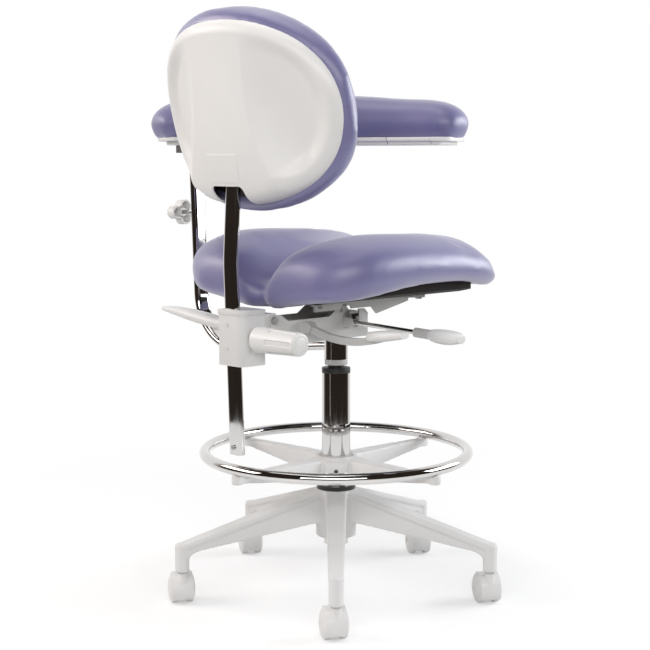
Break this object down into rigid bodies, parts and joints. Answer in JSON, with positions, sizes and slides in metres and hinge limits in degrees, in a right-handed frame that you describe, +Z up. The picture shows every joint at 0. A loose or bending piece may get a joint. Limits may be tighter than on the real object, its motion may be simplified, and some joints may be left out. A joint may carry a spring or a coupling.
{
  "type": "dental nurse stool",
  "caption": "Tall clinic stool on a caster star base, with a gas column, foot ring, saddle-shaped seat, adjustable backrest and a curved body-support arm that swings about the column",
  "frame": {"origin": "on the floor, under the axis of the gas column", "axes": "+Z up, the sitter faces -Y, +X is on the sitter's left"},
  "size_m": [0.7304, 0.6276, 0.9995],
  "materials": {
    "base_enamel": "warm white powder coat",
    "caster_white": "moulded warm white plastic",
    "shell_white": "moulded warm white plastic, satin",
    "lever_white": "moulded warm white plastic",
    "mechanism_grey": "light grey paint",
    "block_grey": "light grey cast and painted",
    "chrome": "bright chrome plate",
    "steel": "plain turned steel",
    "dark_steel": "dark oiled steel",
    "black_plastic": "moulded black plastic",
    "bearing_plastic": "natural bearing plastic",
    "pan_black": "moulded ply, stained black",
    "back_ply": "moulded ply",
    "vinyl": "lavender upholstery vinyl, satin"
  },
  "bodies": {
    "base": {"star_base": "base_enamel", "caster_stems": "steel", "base_collar": "black_plastic", "column_tube": "chrome", "column_bush": "black_plastic", "thrust_bearing": "steel"},
    "footring": {"footring_ring": "chrome", "footring_spider": "base_enamel", "footring_bush": "bearing_plastic", "footring_screw": "dark_steel"},
    "swivel": {"piston_rod": "steel", "bottom_clip": "steel"},
    "carriage": {"gas_cylinder": "dark_steel", "mechanism_housing": "mechanism_grey", "hinge_pins": "steel", "shaft_collar": "mechanism_grey"},
    "release_valve": {"release_pin": "steel"},
    "lift_lever": {"lift_lever_rod": "chrome", "lift_lever_sleeve": "mechanism_grey", "lift_lever_paddle": "lever_white"},
    "tilt_lever": {"tilt_lever_arm": "mechanism_grey", "tilt_lever_paddle": "lever_white"},
    "back_lever": {"back_lever_arm": "dark_steel", "back_lever_paddle": "lever_white"},
    "seat": {"seat_plate": "mechanism_grey", "seat_board": "pan_black", "seat_pad": "vinyl", "seat_screws": "steel"},
    "back_carrier": {"back_block": "block_grey", "block_lid": "block_grey", "block_rivets": "block_grey"},
    "back_knob": {"back_knob_stud": "steel", "back_knob_grip": "lever_white"},
    "backrest": {"back_post": "chrome", "post_stop_screw": "steel", "back_bracket": "dark_steel", "back_board": "back_ply", "back_shell": "shell_white", "back_pad": "vinyl"},
    "arm": {"arm_collar": "chrome", "arm_tube": "chrome"},
    "arm_clamp": {"arm_knob_screw": "steel", "arm_knob": "shell_white"},
    "arm_top": {"arm_inner_post": "steel", "pad_rail": "dark_steel", "pad_screws": "steel", "arm_tray": "shell_white", "arm_pad": "vinyl"},
    "caster_1": {"caster_hood_1": "caster_white"},
    "wheels_1": {"caster_wheels_1": "caster_white"},
    "caster_2": {"caster_hood_2": "caster_white"},
    "wheels_2": {"caster_wheels_2": "caster_white"},
    "caster_3": {"caster_hood_3": "caster_white"},
    "wheels_3": {"caster_wheels_3": "caster_white"},
    "caster_4": {"caster_hood_4": "caster_white"},
    "wheels_4": {"caster_wheels_4": "caster_white"},
    "caster_5": {"caster_hood_5": "caster_white"},
    "wheels_5": {"caster_wheels_5": "caster_white"}
  },
  "joints": [
    {"name": "footring_height", "type": "slide", "parent": "base", "child": "footring", "axis": [0, 0, 1], "range_m": [-0.01, 0.01]},
    {"name": "seat_swivel", "type": "hinge", "parent": "base", "child": "swivel", "pos_m": [0, 0, 0.1], "axis": [0, 0, 1], "continuous": true},
    {"name": "seat_height", "type": "slide", "parent": "swivel", "child": "carriage", "axis": [0, 0, 1], "range_m": [0, 0.2]},
    {"name": "release_valve_press", "type": "slide", "parent": "carriage", "child": "release_valve", "axis": [0, 0, 1], "range_m": [-0.0035, 0], "stiffness_N_per_m": 1500, "springref_m": 0.003},
    {"name": "lift_lever_pull", "type": "hinge", "parent": "carriage", "child": "lift_lever", "pos_m": [-0.052, 0.012, 0.483], "axis": [0, 1, 0], "range_deg": [0, 3], "stiffness_Nm_per_rad": 8, "springref_deg": -5.73},
    {"name": "tilt_lever_pull", "type": "hinge", "parent": "carriage", "child": "tilt_lever", "pos_m": [-0.052, 0.113, 0.482], "axis": [0, 1, 0], "range_deg": [0, 2.5], "stiffness_Nm_per_rad": 8, "springref_deg": -5.73},
    {"name": "back_lever_pull", "type": "hinge", "parent": "carriage", "child": "back_lever", "pos_m": [0.052, 0.14, 0.474], "axis": [0, -1, 0], "range_deg": [0, 3], "stiffness_Nm_per_rad": 8, "springref_deg": -5.73},
    {"name": "seat_tilt", "type": "hinge", "parent": "carriage", "child": "seat", "pos_m": [0, 0.024, 0.506], "axis": [1, 0, 0], "range_deg": [-3, 6]},
    {"name": "back_angle", "type": "hinge", "parent": "carriage", "child": "back_carrier", "pos_m": [0, 0.183, 0.498], "axis": [-1, 0, 0], "range_deg": [-4, 12]},
    {"name": "back_knob_turn", "type": "hinge", "parent": "back_carrier", "child": "back_knob", "pos_m": [-0.1, 0.226, 0.472], "axis": [-1, 0, 0], "range_deg": [0, 270]},
    {"name": "back_height", "type": "slide", "parent": "back_carrier", "child": "backrest", "axis": [0, 0.0346, 0.9994], "range_m": [0, 0.12]},
    {"name": "arm_swing", "type": "hinge", "parent": "carriage", "child": "arm", "pos_m": [0, 0, 0.43], "axis": [0, 0, 1], "range_deg": [-110, 12]},
    {"name": "arm_knob_turn", "type": "hinge", "parent": "arm", "child": "arm_clamp", "pos_m": [0.37237, 0, 0.661], "axis": [0.999, 0, -0.0436], "range_deg": [0, 270]},
    {"name": "arm_height", "type": "slide", "parent": "arm", "child": "arm_top", "axis": [0.0436, 0, 0.999], "range_m": [-0.008, 0.11]},
    {"name": "caster_swivel_1", "type": "hinge", "parent": "base", "child": "caster_1", "pos_m": [-0.19587, 0.19587, 0.06], "axis": [0, 0, 1], "continuous": true},
    {"name": "wheel_spin_1", "type": "hinge", "parent": "caster_1", "child": "wheels_1", "pos_m": [-0.18161, 0.18661, 0.025], "axis": [0.5446, 0.8387, 0], "continuous": true},
    {"name": "caster_swivel_2", "type": "hinge", "parent": "base", "child": "caster_2", "pos_m": [-0.24681, -0.12576, 0.06], "axis": [0, 0, 1], "continuous": true},
    {"name": "wheel_spin_2", "type": "hinge", "parent": "caster_2", "child": "wheels_2", "pos_m": [-0.23255, -0.13501, 0.025], "axis": [0.5446, 0.8387, 0], "continuous": true},
    {"name": "caster_swivel_3", "type": "hinge", "parent": "base", "child": "caster_3", "pos_m": [0.04333, -0.27359, 0.06], "axis": [0, 0, 1], "continuous": true},
    {"name": "wheel_spin_3", "type": "hinge", "parent": "caster_3", "child": "wheels_3", "pos_m": [0.05759, -0.28285, 0.025], "axis": [0.5446, 0.8387, 0], "continuous": true},
    {"name": "caster_swivel_4", "type": "hinge", "parent": "base", "child": "caster_4", "pos_m": [0.27359, -0.04333, 0.06], "axis": [0, 0, 1], "continuous": true},
    {"name": "wheel_spin_4", "type": "hinge", "parent": "caster_4", "child": "wheels_4", "pos_m": [0.28785, -0.05259, 0.025], "axis": [0.5446, 0.8387, 0], "continuous": true},
    {"name": "caster_swivel_5", "type": "hinge", "parent": "base", "child": "caster_5", "pos_m": [0.12576, 0.24681, 0.06], "axis": [0, 0, 1], "continuous": true},
    {"name": "wheel_spin_5", "type": "hinge", "parent": "caster_5", "child": "wheels_5", "pos_m": [0.14001, 0.23755, 0.025], "axis": [0.5446, 0.8387, 0], "continuous": true}
  ],
  "couplings": [
    {"joint": "release_valve_press", "follows": "lift_lever_pull", "m_per_rad": -0.0611}
  ]
}
